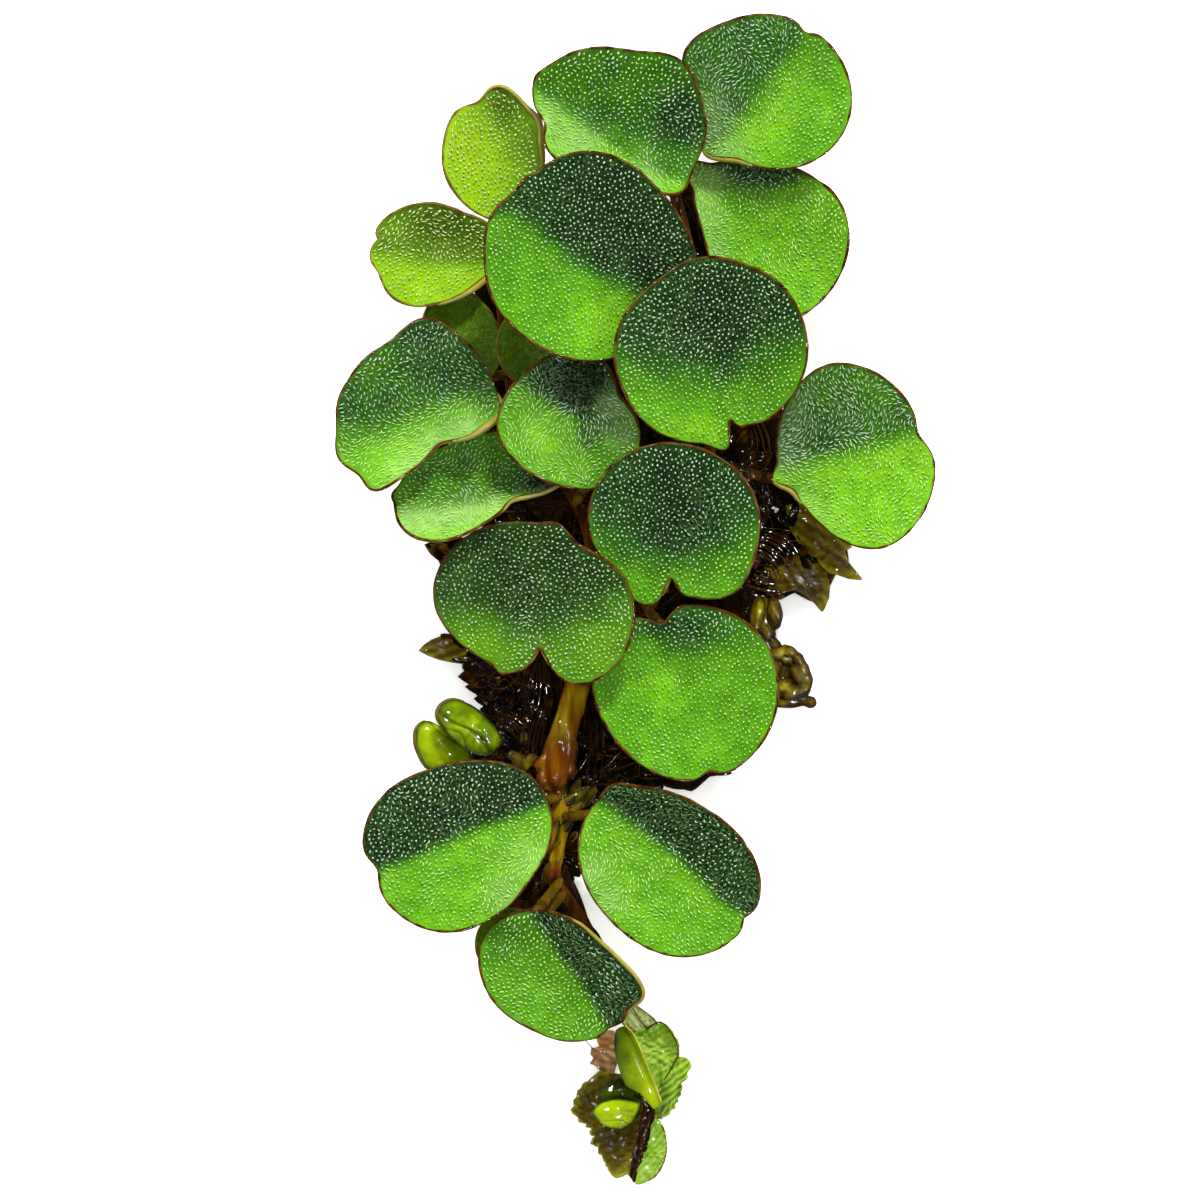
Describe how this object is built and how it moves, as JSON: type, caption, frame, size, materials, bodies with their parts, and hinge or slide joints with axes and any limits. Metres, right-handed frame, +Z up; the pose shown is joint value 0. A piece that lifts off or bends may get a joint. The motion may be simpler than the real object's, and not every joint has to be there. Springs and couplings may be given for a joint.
{
  "type": "asian watermoss plant",
  "caption": "Floating water fern lying flat: layered, cupped, hairy round leaves on a creeping stem above finely cut, wet, root-like fronds, with a small growing tip.",
  "frame": {"origin": "on the resting surface, under the middle of the whole plant", "axes": "+Y along the plant from its growing tip to its old end, +X across it to the right of the picture, +Z up from the surface it lies on"},
  "size_m": [0.0429, 0.0839, 0.0134],
  "materials": {
    "leaf_green": "matt live leaf under a close cover of pale water-repelling hairs, dark brown margin",
    "leaf_young": "matt young leaf, yellow-green, hairy",
    "leaf_shaded": "matt leaf seen in the shade of others",
    "bud_leaf": "wet, glossy, unopened young leaf",
    "frond_olive": "wet, glossy, olive-brown",
    "frond_brown": "wet, glossy, near-black brown",
    "stem": "moist, fibrous, ochre to brown"
  },
  "bodies": {
    "root": {"leaf_top_right": "leaf_green", "leaf_top_middle": "leaf_green", "leaf_top_left": "leaf_young", "leaf_left_high": "leaf_young", "leaf_largest": "leaf_green", "leaf_right_high": "leaf_green", "leaf_center_high": "leaf_green", "leaf_left_middle": "leaf_green", "leaf_left_folded": "leaf_green", "leaf_center_left": "leaf_green", "leaf_center": "leaf_green", "leaf_right_middle": "leaf_green", "leaf_left_low": "leaf_green", "leaf_right_low": "leaf_green", "leaf_bottom_left": "leaf_green", "leaf_bottom_right": "leaf_green", "leaf_bottom": "leaf_green", "leaf_hidden_left": "leaf_shaded", "leaf_rolled_left": "leaf_shaded", "leaf_hidden_bottom": "leaf_shaded", "bud_leaf_folded": "bud_leaf", "bud_leaf_half": "bud_leaf", "bud_leaf_dark": "bud_leaf", "bud_leaf_bean": "bud_leaf", "bud_sheath": "bud_leaf", "bean_leaf_upper": "bud_leaf", "bean_leaf_lower": "bud_leaf", "bud_frond_left": "frond_olive", "bud_frond_right": "frond_olive", "frond_right": "frond_brown", "frond_knob_high": "frond_olive", "frond_knob_low": "frond_olive", "frond_center": "frond_brown", "frond_middle": "frond_brown", "frond_center_high": "frond_brown", "frond_left_low": "frond_brown", "frond_left_tip": "frond_brown", "frond_low_left": "frond_brown", "frond_low_right": "frond_brown", "frond_stem": "frond_brown", "frond_top": "frond_brown", "frond_top_left": "frond_brown", "stem_lower": "stem", "stem_upper": "stem", "stem_branch_left": "stem", "stem_branch_right": "stem", "stem_side_shoot": "stem"}
  },
  "joints": []
}
